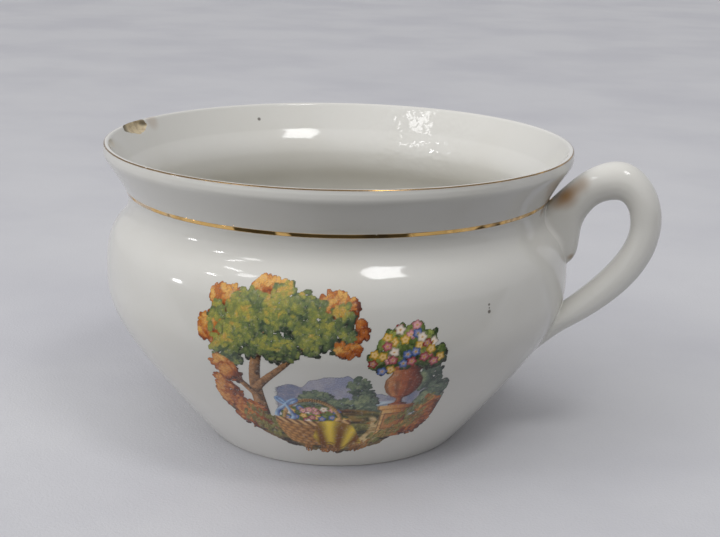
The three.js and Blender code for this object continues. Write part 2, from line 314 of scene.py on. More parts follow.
def chipped(points):
    # points inside a ragged lens at the lip's inner edge move out onto its surface, from its middle
    a = math.radians(chip["azimuth"])
    outward, up = np.array([math.cos(a), math.sin(a), 0]), np.array([0, 0, 1.0])
    lengthwise = unit(np.array([-math.sin(a), math.cos(a), chip["dip"]]) - chip["slant"] * outward)
    axes = np.array([outward, lengthwise, unit(np.cross(outward, lengthwise))])
    middle = outward * chip["radius"] + up * chip["height"]
    radii = np.array([chip["across"], chip["length"] / 2, chip["depth"]])
    q = (points - middle) @ np.linalg.inv(axes) / radii
    away = (abs(q) ** chip["squareness"]).sum(-1) ** (1 / chip["squareness"])
    turn = np.arctan2(q[..., 2], q[..., 1])
    bites = np.sin(3 * turn + 1) * 0.5 + np.sin(7 * turn + 2) * 0.3 + np.sin(13 * turn) * 0.2
    edge = 1 + chip["ragged"] * bites
    inside = away < edge
    moved = middle + (q / np.maximum(away, 1e-6)[..., None] * edge[..., None] * radii) @ axes
    return np.where(inside[..., None], moved, points), inside.astype(float)


def columnsRound():
    # azimuths round the pot, closer together near the chip
    fine = np.linspace(-180, 180, 7201)
    apart = (fine - chip["azimuth"] + 180) % 360 - 180
    density = 1 + pot["chipGain"] * np.exp(-(apart / pot["chipReach"]) ** 4)
    run = np.concatenate([[0], np.cumsum(density[1:])])
    return np.interp(np.arange(pot["columns"]) / pot["columns"] * run[-1], run, fine)


def makePot():
    # the whole outline turned round the axis: underside, outside, lip, inside and floor, and a point
    # at each pole
    inner = innerLine()
    ringInner, recess = pot["footRadius"] - pot["footRing"], pot["footRecess"]
    step = [[ringInner + on, recess * share] for on, share in pot["footStep"]] + [[ringInner, 0.25]]
    flat = evenly(np.array([[6, recess], step[0]]), 9)
    under = np.concatenate([flat, step[1:], [[ringInner + 0.6, 0]]])
    floorRow = evenly(np.array([[6, inner[0][1]], inner[0]]), 9)
    profile = np.concatenate([under, outer, lipTop(inner), inner[::-1], floorRow[-2::-1]])
    gap = np.linalg.norm(np.diff(profile, axis=0), axis=1)
    profile = profile[np.concatenate([[True], gap > 0.02])]
    azimuth = columnsRound()[None, :]
    z = np.repeat(profile[:, 1:2], azimuth.size, 1)
    r = profile[:, 0:1] + sway(azimuth, z) * smooth(profile[:, 0:1], 30, 60)
    rings, broken = chipped(polar(r, azimuth, z))
    lipRow = len(under) + len(outer)
    share = smooth(np.arange(len(profile)), lipRow + 4, lipRow + 14)
    inside = np.repeat(share[:, None], azimuth.size, 1)
    poles = [[0, 0, profile[0, 1]], [0, 0, profile[-1, 1]]]
    inside, broken = np.append(inside.ravel(), [0, 1]), np.append(broken.ravel(), [0, 0])
    return addClosed("potShell", rings, poles, {"inside": inside, "broken": broken})


potShell = onBody(makePot(), "glaze", "pot_body")
print("pot made")

# Gilding: thin strips that stand a little off the glaze

gilding = {
    # middle, along the lip's edge or as a height, width, and azimuths where it breaks off at the chip
    "rim": (0.72, 0.8, (-176.2, 167.3)),
    "band": (118.4, 1.9),
    "proud": 0.02,  # over the glaze in the strip's middle
    "sunk": 0.15,
    "waver": 0.12,  # how much the hand-drawn edges wander
    "columns": 540,
    "points": 14,  # round its section
}


def onLip(azimuth, across, out):
    # a place on the lip's rounded edge: a length along the round becomes an angle about its centre
    turn = across / pot["lipEdge"]
    z = lipCentre[1] + (pot["lipEdge"] + out) * np.sin(turn)
    return polar(lipCentre[0] + (pot["lipEdge"] + out) * np.cos(turn) + sway(azimuth, z), azimuth, z)


def giltStrip(name, node, place, middle, width, ends=None):
    # a flat lens carried round the pot: out over the glaze in its middle and under it at both edges
    first, last = ends or (0, 360)
    azimuth = np.linspace(first, last, gilding["columns"], endpoint=bool(ends))
    a = np.radians(azimuth)
    turn = np.linspace(0, 2 * math.pi, gilding["points"], endpoint=False)[:, None]
    waver = np.sin(9 * a + middle) + 0.7 * np.sin(23 * a + 2 * middle) + 0.5 * np.sin(41 * a)
    waver = gilding["waver"] * waver / 2
    taper = smooth(np.minimum(azimuth - first, last - azimuth), -0.3, 1.5) if ends else 1
    across = middle + waver * 0.4 + (width / 2 + waver * 0.3) * taper * np.sin(turn)
    height = np.where(np.cos(turn) > 0, gilding["proud"], -gilding["sunk"])
    points = place(azimuth[None, :], across, height * abs(np.cos(turn)) ** 0.4 - 0.005)
    rows, columns = points.shape[:2]
    faces = gridFaces(rows + 1, columns, not ends) % (rows * columns)
    points, caps = points.reshape(-1, 3), ()
    if ends:
        ring = np.arange(rows) * columns
        caps = np.concatenate([fan(ring, len(points)), fan(ring[::-1] + columns - 1, len(points) + 1)])
        points = np.concatenate([points, [points[ring].mean(0), points[ring + columns - 1].mean(0)]])
    return onBody(addMesh(name, points, faces, caps), "gilt", node)


rimLine = giltStrip("giltRimLine", "gilt_rim_line", onLip, *gilding["rim"])
neckBand = giltStrip("giltNeckBand", "gilt_neck_band", wallPoint, *gilding["band"])
print("gilding made")

# The handle: rings between two lines in its plane, with a half width, that land on the wall

handle = {
    # the spur and the upper root, ring by ring: inner x and z, outer x and z, half width, and how much
    # the ring is broad above and narrow below
    "upperRoot": [
        (107.8, 86.4, 96.6, 113.8, 6.4, 1),
        (112, 90, 99.9, 117.4, 6.6, 1),
        (113.6, 93, 101.7, 119.3, 6.9, 0.9),
        (114.4, 96.4, 103.5, 121.3, 7.3, 0.75),
        (114.8, 101.2, 105.7, 123.5, 7.9, 0.5),
        (115.3, 106.2, 107.9, 125.8, 8.3, 0.25),
        (117, 110.9, 110.2, 127.9, 8.5, 0.1),
        (120, 115, 112.7, 130, 8.5, 0),
    ],
    # the loop, stretch by stretch: cubic curves of its inner and outer edge, half widths at both ends
    "loop": [
        [(120, 115), (122.6, 118.4), (126.8, 120), (131, 120)],
        [(112.7, 130), (117.6, 134.1), (124, 137.6), (131, 137.6)],
        (8.5, 8.5),
        [(131, 120), (134.8, 120), (137.4, 114.8), (137.4, 108)],
        [(131, 137.6), (141.6, 137.6), (151.5, 124), (151.5, 110)],
        (8.5, 8),
        [(137.4, 108), (137.4, 96.5), (124.5, 82.5), (108.2, 68.3)],
        [(151.5, 110), (151.5, 88), (134, 70.5), (109.8, 55.7)],
        (8, 10.6),
    ],
    "lowerRoot": [
        (105.6, 66, 105.1, 51.9, 11.4, 0),
        (102.6, 63.6, 101, 48, 11.8, 0),
        (98.9, 60.8, 95.8, 43.8, 12, 0),
    ],
    "squareness": 2.1,
    # near the outer point, how soon that ends, loss near the inner point, share of all three
    "broadening": (1.35, 0.3, 0.12, 0.75),
    "softening": 10,
    "fillets": (0.9, 2.6, 0.9),  # at the spur's tip, at the sides and over the root
    "lowerFillets": (1, 2.4, 6),
    "tuck": ((0.6, 0.12), (0.9, 0.7)),  # how its last rows run on along the wall and down into it
    "columns": 96,
    "rings": 260,
    "rowsToWall": 110,
}


def handleRings():
    # inner and outer points, half widths and shapes, ring by ring from the spur to the lower root
    t = np.linspace(0, 1, 13)[1:]
    rows = [np.array(handle["upperRoot"])]
    loop = handle["loop"]
    for inner, outerEdge, (start, end) in zip(loop[::3], loop[1::3], loop[2::3]):
        half = start + (end - start) * t**3
        edges = bezier(inner, 13)[1:], bezier(outerEdge, 13)[1:]
        rows.append(np.column_stack([*edges, half, 0 * t]))
    return np.concatenate(rows + [np.array(handle["lowerRoot"])])


def softened(rows):
    # rings spread evenly along the handle, then each averaged with its neighbours
    rows = evenly(rows, handle["rings"], (rows[:, 0:2] + rows[:, 2:4]) / 2)
    for _ in range(handle["softening"]):
        rows[1:-1] = (rows[:-2] + 2 * rows[1:-1] + rows[2:]) / 4
    return rows


def ringPoints(rows, turn):
    # a super-ellipse between the inner and the outer point, broader towards the outer one where the
    # shape says so
    rounded = lambda s: np.sign(s) * abs(s) ** (2 / handle["squareness"])
    reach = rounded(np.cos(turn))[None, :]
    side = rounded(np.sin(turn))[None, :]
    inner, outerEdge = rows[:, None, 0:2], rows[:, None, 2:4]
    place = (inner + outerEdge) / 2 + (inner - outerEdge) / 2 * reach[..., None]
    share = (1 + reach) / 2
    gain, decay, loss, whole = handle["broadening"]
    shape = rows[:, 5:6] * (gain * np.exp(-share / decay) - loss * share)
    y = rows[:, 4:5] * side * (1 + shape * whole)
    return np.stack([place[..., 0], y, place[..., 1]], -1)


def landed(sheet, fillet):
    # rows that come from the loop down to the wall: each column stops a fillet short of the wall, and
    # a quadratic curve with its corner where the column meets the wall leads it out along the wall
    stand = outside(sheet)
    run = along(sheet)
    below = np.argmax(stand < 0, axis=0)
    pick = np.arange(sheet.shape[1])
    a, b = stand[below - 1, pick], stand[below, pick]
    share = (a / (a - b))[:, None]
    corner = sheet[below - 1, pick] * (1 - share) + sheet[below, pick] * share
    reach = run[below - 1, pick] + share[:, 0] * (run[below, pick] - run[below - 1, pick])
    start = reach - fillet
    wall = atRun(sheet, run, np.linspace(0, 1, handle["rowsToWall"])[:, None] * start)
    around = unit(np.roll(corner, -1, 0) - np.roll(corner, 1, 0))
    outward = np.cross(around, wallNormal(corner))
    outward *= np.sign(((corner - corner.mean(0)) * outward).sum(1).mean())
    end = corner + unit(outward) * fillet[:, None]
    azimuth = np.degrees(np.arctan2(end[:, 1], end[:, 0]))
    end = wallPoint(azimuth, end[:, 2], -0.02)
    t = np.linspace(0, 1, 13)[1:, None, None]
    bend = (1 - t) ** 2 * wall[-1] + 2 * t * (1 - t) * corner + t**2 * end
    tuck = [end + unit(outward) * on - wallNormal(end) * down for on, down in handle["tuck"]]
    return np.concatenate([wall, bend, tuck]), corner


def makeHandle():
    # the rings from the loop's middle down to both roots, landed on the wall, and a point inside the
    # wall at each end
    turn = np.linspace(0, 2 * math.pi, handle["columns"], endpoint=False)
    rows = softened(handleRings())
    sheet = ringPoints(rows, turn)
    middle = len(rows) // 2
    level, ends, caps = np.cos(turn), [], []
    for part, (tip, side, over), edge in (
        (sheet[middle::-1], handle["fillets"], 0.35),
        (sheet[middle:], handle["lowerFillets"], 0.2),
    ):
        fillet = side + (tip - side) * smooth(level, edge, 1) + (over - side) * smooth(-level, edge, 1)
        end, corner = landed(part, fillet)
        ends.append(end)
        caps.append(wallPoint(0, corner[:, 2].mean(), -1.5))
    upper, lower = ends
    return addClosed("handleLoop", np.concatenate([upper[:0:-1], lower]), caps)


handleLoop = onBody(makeHandle(), "glaze", "handle", "upper_slip_joint", "lower_slip_joint")
print("handle made")

# The printed garden vignette: painted on a grid laid over the wall, then cut to what is painted

vignette = {
    "azimuth": -78.5,
    "width": 118,
    "low": 8,
    "high": 106.5,
    "step": 0.5,  # between the points that are painted
    "least": 0.02,  # cover, below which nothing is kept
    "proud": 0.08,
    "sunk": 0.3,
    "seed": 31,
}


def ink(red, green, blue):
    # an enamel colour as it shows, on a scale of 255, as the amount of light that it sends back
    return (np.array([red, green, blue]) / 255) ** 2.2


def inks(*rows):
    return np.array([ink(*row) for row in rows])


def clouds(x, y, size, seed, octaves=3):
    # random heights at whole numbers joined by soft steps, with finer copies at half the height
    total, weight = 0.0, 0.0
    for k in range(octaves):
        dice = np.random.default_rng(seed + k).random((64, 64))
        u, v = x / size * 2**k + 20, y / size * 2**k + 20
        i, j = np.floor(u).astype(int), np.floor(v).astype(int)
        a, b = smooth(u - i, 0, 1), smooth(v - j, 0, 1)
        i, j = i % 63, j % 63
        low = dice[i, j] * (1 - a) + dice[i + 1, j] * a
        high = dice[i, j + 1] * (1 - a) + dice[i + 1, j + 1] * a
        total = total + (low * (1 - b) + high * b) / 2**k
        weight += 1 / 2**k
    return total / weight


def scatter(x, y, size, seed, grows, long=1.8, upright=0.0, petals=0):
    # one leaf or blossom in each square of a grid, at a random place and slant, where it grows at all:
    # an ellipse, or a circle whose radius swells once for each petal. The topmost one at a point gives
    # its cover, its own random tone and how near its middle the point is
    dice = np.random.default_rng(seed).random((5, 97, 89))
    i, j = np.floor(x / size).astype(int), np.floor(y / size).astype(int)
    top, tone, near = np.full(x.shape, -1.0), np.zeros(x.shape), np.zeros(x.shape)
    for di in (-1, 0, 1):
        for dj in (-1, 0, 1):
            a, b, slant, shade, rank = dice[:, (i + di) % 97, (j + dj) % 89]
            px, py = (i + di + a) * size, (j + dj + b) * size
            turn = (slant - 0.5) * math.pi * (1 - upright) + upright * math.pi / 2
            dx, dy = (x - px) / size, (y - py) / size
            u = (dx * np.cos(turn) + dy * np.sin(turn)) / long
            v = dy * np.cos(turn) - dx * np.sin(turn)
            swell = 1 + 0.16 * np.cos(petals * np.arctan2(v, u) + slant * 6)
            reach = np.hypot(u, v) / (0.52 * swell)
            hit = (reach < 1) & (rank > top) & grows(px, py)
            top, tone = np.where(hit, rank, top), np.where(hit, shade, tone)
            near = np.where(hit, 1 - reach, near)
    return (top >= 0).astype(float), tone, near


def stroke(x, y, points, widths):
    # how far inside a curved stroke each point is, its place along it and across it
    line = bezier(points, 40)
    gap = np.hypot(x[..., None] - line[:, 0], y[..., None] - line[:, 1])
    near = gap.argmin(-1)
    t = near / 39
    half = widths[0] + (widths[1] - widths[0]) * t
    return half - gap.min(-1), t, gap.min(-1) * np.sign(x - line[near, 0]) / half


def blend(low, high, share):
    return low + (high - low) * share[..., None]


class Sheet:
    # a transfer sheet: its colour and how much of it is covered
    def __init__(self, x, y):
        self.x, self.y = x, y
        self.colour = np.zeros(x.shape + (3,))
        self.cover = np.zeros(x.shape)

    def lay(self, colour, mask):
        # paint over what is there, by the mask
        total = self.cover + (1 - self.cover) * mask
        kept = (self.cover * (1 - mask))[..., None]
        added = np.broadcast_to(colour, self.colour.shape) * mask[..., None]
        whole = np.maximum(total, 1e-6)[..., None]
        self.colour = np.where(total[..., None] > 0, (self.colour * kept + added) / whole, 0)
        self.cover = total

    def tint(self, low, high, share, mask):
        # paint with a blend of two inks
        self.lay(blend(ink(*low), ink(*high), share), mask)


def paintHills(s, seed):
    # two ridges of hills and a lake in front of them, fading out upwards
    x, y = s.x, s.y
    fade = smooth(x, -30, -18) * smooth(-x, -50, -38)
    ridges = (57, 7, ink(158, 164, 190)), (51, 6, ink(132, 140, 168))
    for k, (base, rise, colour) in enumerate(ridges):
        ridge = base + rise * np.sin(x / (9 + 3 * k) + 1.3 + 2 * k)
        ridge = ridge + 5 * (clouds(x, y * 0, 9, seed + k) - 0.5)
        mask = smooth(ridge - y, -1.2, 1.6) * smooth(y, 30, 42)
        tint = blend(colour, ink(196, 190, 196), smooth(clouds(x, y, 5, seed + 5), 0.3, 0.8) * 0.6)
        s.lay(tint, mask * fade * (0.8 + 0.2 * k))
    water = soft(4.5 - abs(y - 41.5 - 0.03 * x), 0.8) * smooth(x, -22, -12) * smooth(-x, -36, -26)
    shine = smooth(clouds(x / 6, y, 1.2, seed + 9, 2), 0.35, 0.7)
    s.tint((122, 150, 176), (206, 218, 226), shine, water)


def paintGround(s, seed):
    # streaks of earth and grass down to a ragged lower edge
    x, y = s.x, s.y
    edge = 5 + 34 * (abs(x) / 58) ** 2.6 + 5.5 * (clouds(x, y * 0, 5, seed) - 0.5)
    edge = edge + 1.6 * (clouds(x, y, 1.6, seed + 1) - 0.5)
    top = 37 + 4 * np.sin(x / 13 + 0.6) + 3 * (clouds(x, y * 0, 7, seed + 2) - 0.5)
    ends = smooth(57 + 3 * clouds(x, y, 4, seed + 3) - abs(x), 0, 2)
    mask = smooth(y - edge, -0.7, 0.5) * smooth(top - y, -0.8, 1.2) * ends
    streak = clouds(x / 4.5 + y / 9, y, 2.2, seed + 4)
    green = smooth(clouds(x / 2, y, 8, seed + 7), 0.42, 0.62)
    rust = smooth(clouds(x / 2.5, y, 6, seed + 10), 0.55, 0.7)
    dark = smooth(9 + 3 * clouds(x, y, 4, seed + 12) - (y - edge), 0, 9)
    tone = blend(ink(70, 56, 34), ink(174, 134, 68), smooth(streak, 0.25, 0.75))
    for low, high, top, share in (
        (ink(50, 62, 44), ink(134, 140, 78), 0.7, green * 0.8),
        (ink(104, 46, 22), ink(204, 112, 46), 0.7, rust * 0.85),
        (ink(40, 32, 30), ink(122, 84, 62), 0.8, dark * 0.7),
    ):
        tone = blend(tone, blend(low, high, smooth(streak, 0.3, top)), share)
    s.lay(tone, mask)
    # a pale path that narrows as it goes back
    middle = 16 + 10 * np.sin((y - 8) / 11)
    half = 8.5 - 0.2 * y
    path = soft(half - abs(x - middle) + 2 * (clouds(x, y, 3, seed + 14) - 0.5), 0.8)
    path = path * smooth(y, 8, 13) * smooth(37 - y, 0, 4)
    worn = smooth(clouds(x / 3, y, 1.8, seed + 15), 0.3, 0.7)
    s.tint((190, 152, 96), (234, 206, 150), worn, path * 0.9)


def crown(x, y, blobs, seed, ragged):
    # how far inside a tree or shrub a point is: the deepest of its round masses, made uneven
    deep = np.max([1 - ((x - a) / c) ** 2 - ((y - b) / d) ** 2 for a, b, c, d in blobs], axis=0)
    deep = deep + ragged * (clouds(x, y, 7, seed) - 0.5)
    return deep + ragged * 0.6 * (clouds(x, y, 2.6, seed + 3) - 0.5)


def layTones(s, tones, value, mask):
    # paint with a row of colours: 0 takes the first one, 1 the last one, and between them they blend
    value = value * (len(tones) - 1)
    i = np.minimum(value.astype(int), len(tones) - 2)
    s.lay(tones[i] + (tones[i + 1] - tones[i]) * (value - i)[..., None], mask)


def paintLeaves(s, blobs, tones, size, seed, ragged=0.9, shadow=0.75):
    # a mass of leaves: dark ones under it, then lighter ones towards the upper left of each round mass
    x, y = s.x, s.y
    for k, (depth, lift) in enumerate(((0.0, 0.0), (0.08, 0.22), (0.2, 0.42), (0.14, 0.6))):
        grows = lambda px, py, d=depth, k=k: (crown(px, py, blobs, seed, ragged) > d) & (
            (k < 2) | (clouds(px, py, 6, seed + 20 + k, 2) > 0.30 + 0.07 * k)
        )
        cover, tone, near = scatter(x, y, size * (1.25 - 0.12 * k), seed + 31 * k, grows)
        light = crown(x + 2.5, y - 3.2, blobs, seed, 0) - crown(x - 2.5, y + 3.2, blobs, seed, 0)
        value = np.clip(shadow * lift + 0.3 * np.tanh(light) + 0.36 * tone + 0.02 + 0.18 * near, 0, 1)
        layTones(s, tones, value, cover * smooth(near, -0.02, 0.12))


def paintTrunk(s, seed):
    # a leaning trunk and its boughs, lit from the left, with bark in streaks along it
    x, y = s.x, s.y
    for points, widths in (
        ([(-37, 24), (-33, 44), (-38, 58), (-27, 84)], (4.3, 1.8)),
        ([(-35, 52), (-28, 62), (-20, 66), (-9, 80)], (2.2, 0.8)),
        ([(-34.5, 46), (-42, 58), (-47, 62), (-50, 72)], (2.0, 0.7)),
        ([(-37, 27), (-41, 24), (-44, 23), (-47, 20)], (2.2, 0.5)),
        ([(-37, 27), (-33, 24), (-31, 22), (-27, 20)], (2.2, 0.5)),
    ):
        inside, t, across = stroke(x, y, points, widths)
        bark = clouds(across * 3 + seed, t * 60, 2.2, seed, 2)
        light = np.clip(0.5 - 0.5 * across + 1.1 * (bark - 0.5), 0, 1)
        s.tint((58, 36, 26), (188, 138, 92), light, soft(inside, 0.35))


def turned(s, x, y, outline, tones, seed):
    # a piece of turned stone seen from the side: half widths at given heights, lit from the left
    heights, halves = zip(*outline)
    half = np.interp(y, heights, halves)
    across = x / np.maximum(half, 0.1)
    inside = soft(half - abs(x), 0.3)
    inside = inside * soft(y - heights[0], 0.3) * soft(heights[-1] - y, 0.3)
    step = abs(np.gradient(half, axis=0)) > 0.35
    value = 0.62 - 0.42 * across - 0.15 * across**2
    value = value + 0.3 * (clouds(x, y, 1.8, seed) - 0.5) - 0.22 * step
    layTones(s, tones, np.clip(value, 0, 1), inside)
    s.lay(ink(58, 30, 24), inside * smooth(0.35 - abs(half - 0.25 - abs(x)), -0.1, 0.3) * 0.7)
    return half


def paintUrn(s, foot, size, seed):
    # a square pedestal with its mouldings and a sunk panel, and a fluted urn on it
    x, y = (s.x - foot[0]) / size, (s.y - foot[1]) / size
    stone = inks((112, 62, 40), (182, 108, 58), (222, 152, 80), (244, 206, 140))
    clay = inks((78, 34, 28), (138, 62, 42), (186, 98, 58), (230, 164, 106))
    pedestal = (  # height and half width, from below
        (0, 7.2), (2.5, 7.2), (2.6, 5.6), (3.5, 5.4),
        (16.4, 5.4), (17.2, 6.0), (17.3, 7.0), (19.4, 7.0),
    )
    urn = (
        (19.4, 3.6), (20.2, 3.5), (20.9, 1.5), (22.4, 1.1), (23.3, 1.5), (24.2, 3.4), (26.6, 5.5),
        (29.6, 6.5), (32.4, 6.4), (34.6, 4.9), (35.8, 4.5), (37.0, 5.6), (38.0, 7.3), (38.9, 7.4),
    )
    turned(s, x, y, pedestal, stone, seed)
    courses = smooth(0.16 - abs((y + 0.6) % 3.3 - 1.65), -0.12, 0.06) * smooth(5.3 - abs(x), 0, 0.3)
    s.lay(ink(128, 70, 44), courses * smooth(y, 3.4, 3.8) * smooth(-y, -16.4, -16.0) * 0.6)
    panel = soft(3.7 - abs(x), 0.2) * soft(4.6 - abs(y - 10), 0.2)
    s.tint((176, 104, 58), (206, 136, 76), clouds(x, y, 1.6, seed + 3), panel * 0.7)
    edge = smooth(0.3 - abs(np.maximum(abs(x) - 3.7, abs(y - 10) - 4.6)), -0.1, 0.2)
    s.lay(ink(104, 54, 36), edge * 0.75)
    half = turned(s, x, y, urn, clay, seed + 1)
    # flutes on the bowl
    flute = np.cos(np.arcsin(np.clip(x / half, -1, 1)) * 9)
    bowl = smooth(y, 24.2, 25.4) * smooth(-y, -32.6, -31.4) * smooth(half - abs(x), -0.2, 0.4)
    s.lay(ink(84, 38, 32), bowl * smooth(-flute, 0.1, 0.9) * 0.5)


def paintFlowers(s, blobs, seed, size):
    # green leaves, then blossoms in mixed enamels with a paler edge and a yellow middle
    x, y = s.x, s.y
    greens = inks((24, 38, 28), (52, 76, 42), (100, 124, 62), (166, 178, 92))
    paintLeaves(s, blobs, greens, 2.2, seed, 0.5)
    enamels = inks(
        (200, 78, 96), (232, 148, 156), (168, 30, 36),
        (240, 224, 208), (234, 182, 52), (74, 112, 190),
    )
    grows = lambda px, py: crown(px, py, blobs, seed, 0.4) > 0.05
    cover, tone, near = scatter(x, y, size, seed + 7, grows, 1.0, 0.0, 5)
    pick = np.minimum((tone * len(enamels)).astype(int), len(enamels) - 1)
    petal = blend(enamels[pick] * 0.62, enamels[pick], smooth(near, 0, 0.45))
    petal = blend(petal, ink(250, 240, 226), smooth(near, 0.3, 0.55) * 0.35)
    petal = blend(petal, ink(226, 172, 52), smooth(near, 0.72, 0.86))
    s.lay(petal, cover * smooth(near, 0, 0.14))


def paintBasket(s, foot, size, seed):
    # a wicker basket: rows of weave that swell and shrink in turn, a thick rim, a bowed handle with a
    # blue ribbon, and a yellow cloth that hangs over its side
    x, y = (s.x - foot[0]) / size, (s.y - foot[1]) / size
    high = 10.5
    cane = (ink(96, 58, 34), ink(222, 176, 112))
    bow, tail = (ink(46, 84, 160), ink(168, 204, 238)), (ink(46, 84, 160), ink(184, 214, 240))
    for points, widths, colours in (
        ([(-9.5, 9), (-9.0, 25), (9.0, 25), (9.5, 9)], (0.7, 0.7), cane),
        ([(-7.5, 18.6), (-9, 23), (-12.5, 21), (-7.8, 18.4)], (0.55, 0.5), bow),
        ([(-7.5, 18.6), (-5, 22.5), (-1.5, 21), (-7.2, 18.4)], (0.55, 0.5), bow),
        ([(-7.5, 18.5), (-9.5, 16), (-12, 15), (-11.5, 11)], (0.5, 0.8), tail),
        ([(-7.5, 18.5), (-7, 15), (-5, 14), (-6.5, 11.5)], (0.5, 0.8), tail),
    ):
        inside, t, across = stroke(x, y, points, widths)
        light = np.clip(0.5 - 0.5 * across + 0.2 * np.sin(t * 9), 0, 1)
        s.lay(blend(*colours, light), soft(inside, 0.25))
    half = 9.2 + 0.32 * y + 0.9 * np.sin(y / 3.4)
    across = x / half
    curve = 1.9 * (1 - np.clip(across, -1, 1) ** 2)
    body = soft(half - abs(x), 0.3)
    body = body * soft(y + curve, 0.3) * soft(high - y, 0.4)
    turn = np.arcsin(np.clip(across, -1, 1)) * 9.5
    row = np.floor((y + curve) / 1.5)
    weave = abs(np.sin(turn + row * math.pi / 2)) * abs(np.sin((y + curve) / 1.5 * math.pi)) ** 0.5
    tone = np.clip(0.15 + 0.62 * weave - 0.28 * across + 0.15 * (clouds(x, y, 2, seed) - 0.5), 0, 1)
    s.tint((70, 34, 20), (220, 158, 90), tone, body)
    rim = soft(1.15 - abs(y - high + curve * 0.8 - 0.9), 0.3) * soft(12.4 - abs(x), 0.3)
    s.tint((112, 62, 38), (236, 190, 128), 0.5 + 0.5 * np.sin((x + y) * 2.1), rim)
    top = 11.6 - 0.05 * (x - 6) ** 2
    hem = -2.6 - 1.2 * np.sin(x * 0.8) + 0.05 * (x - 9) ** 2
    cloth = smooth(top - y, -0.3, 0.4) * smooth(y - hem, -0.3, 0.4)
    cloth = cloth * smooth(x + 1.5 - 0.3 * y, -0.3, 0.4) * smooth(17.5 - 0.45 * y - x, -0.3, 0.4)
    fold = 0.5 + 0.5 * np.sin(x * 1.15 - 0.05 * y * (x - 6) + 2.4 * clouds(x, y, 8, seed + 2))
    light = np.clip(0.1 + 0.9 * fold - 0.02 * (10 - y), 0, 1)
    s.tint((126, 74, 18), (246, 214, 78), light, cloth)
    s.lay(ink(120, 70, 30), cloth * soft(0.35 - abs(y - hem - 0.9), 0.15) * 0.7)


def paintGrass(s, seed):
    # blades of grass along the ground, dark ones before light ones
    x, y = s.x, s.y
    green, brown = inks((58, 66, 40), (150, 148, 78)), inks((84, 50, 32), (196, 130, 66))
    for k, (low, high, size) in enumerate(((9, 17, 2.0), (5, 12, 1.7), (22, 27, 1.5))):
        grows = lambda px, py, a=low, b=high, k=k: (
            (py > a + 30 * (abs(px) / 58) ** 2.6)
            & (py < b + 30 * (abs(px) / 58) ** 2.6)
            & (clouds(px, px * 0, 9, seed + k) > 0.46)
            & (abs(px) < 52)
        )
        cover, tone, near = scatter(x, y, size, seed + 9 * k, grows, 2.6, 0.78)
        dark, light = brown if k == 1 else green
        tone = np.clip(tone * 0.8 + near * 0.5, 0, 1)
        s.lay(blend(dark, light, tone), cover * smooth(near, 0, 0.25) * 0.9)


def paintVignette(x, y):
    # from the back to the front: hills, shrubs, ground, tree, urn, flowers, grass and basket
    seed = vignette["seed"]
    s = Sheet(x, y)
    garden = inks((34, 46, 40), (72, 92, 72), (118, 134, 82), (168, 168, 84), (212, 170, 86))
    tips = inks((92, 42, 24), (162, 80, 36), (208, 126, 58), (234, 180, 98))
    olive = inks((36, 48, 48), (66, 84, 78), (104, 124, 104), (154, 168, 128))
    rust = inks((70, 30, 18), (134, 62, 28), (190, 106, 46), (226, 158, 82))
    paintHills(s, seed)
    shrubs = [(-6, 46, 9, 9), (5, 43, 7, 6), (18, 45, 6, 9), (14, 56, 5, 7)]
    paintLeaves(s, shrubs, olive, 2.0, seed + 40)
    paintLeaves(s, [(51, 44, 8, 15), (46, 60, 6, 8), (20, 36, 7, 8)], olive, 2.2, seed + 50, 1.1)
    paintGround(s, seed + 60)
    paintTrunk(s, seed + 80)
    yellowed = [(-52, 82, 6, 6), (-43, 96, 8, 6), (-24, 103, 8, 4), (4, 96, 8, 5), (11, 86, 5, 5)]
    paintLeaves(s, yellowed, tips, 2.0, seed + 90, 1.5)
    green = [
        (-34, 86, 16, 15), (-17, 92, 15, 11), (-2, 84, 12, 9),
        (-44, 75, 9, 9), (-22, 77, 10, 7), (6, 91, 5, 5),
    ]
    paintLeaves(s, green, garden, 2.1, seed + 100, 1.35, 0.68)
    paintLeaves(s, [(-49, 66, 6, 4), (8, 77, 5, 3)], tips, 2.0, seed + 110, 1.4)
    paintLeaves(s, [(-43, 33, 10, 12), (-51, 45, 7, 12), (-46, 60, 5, 5)], rust, 2.0, seed + 120, 1.4)
    paintUrn(s, (34, 17), 1.36, seed + 140)
    paintFlowers(s, [(34, 78, 13, 10), (24, 72, 7, 6), (44.5, 73, 7, 6)], seed + 160, 4.3)
    paintLeaves(s, [(52, 36, 6, 11), (46, 24, 8, 6)], rust, 2.1, seed + 180, 1.1)
    paintFlowers(s, [(-9, 36, 15, 7), (-19, 32, 7, 5), (3, 33, 6, 4)], seed + 220, 4.0)
    paintGrass(s, seed + 240)
    paintBasket(s, (-9, 13.0), 1.65, seed + 200)
    return s.colour, s.cover


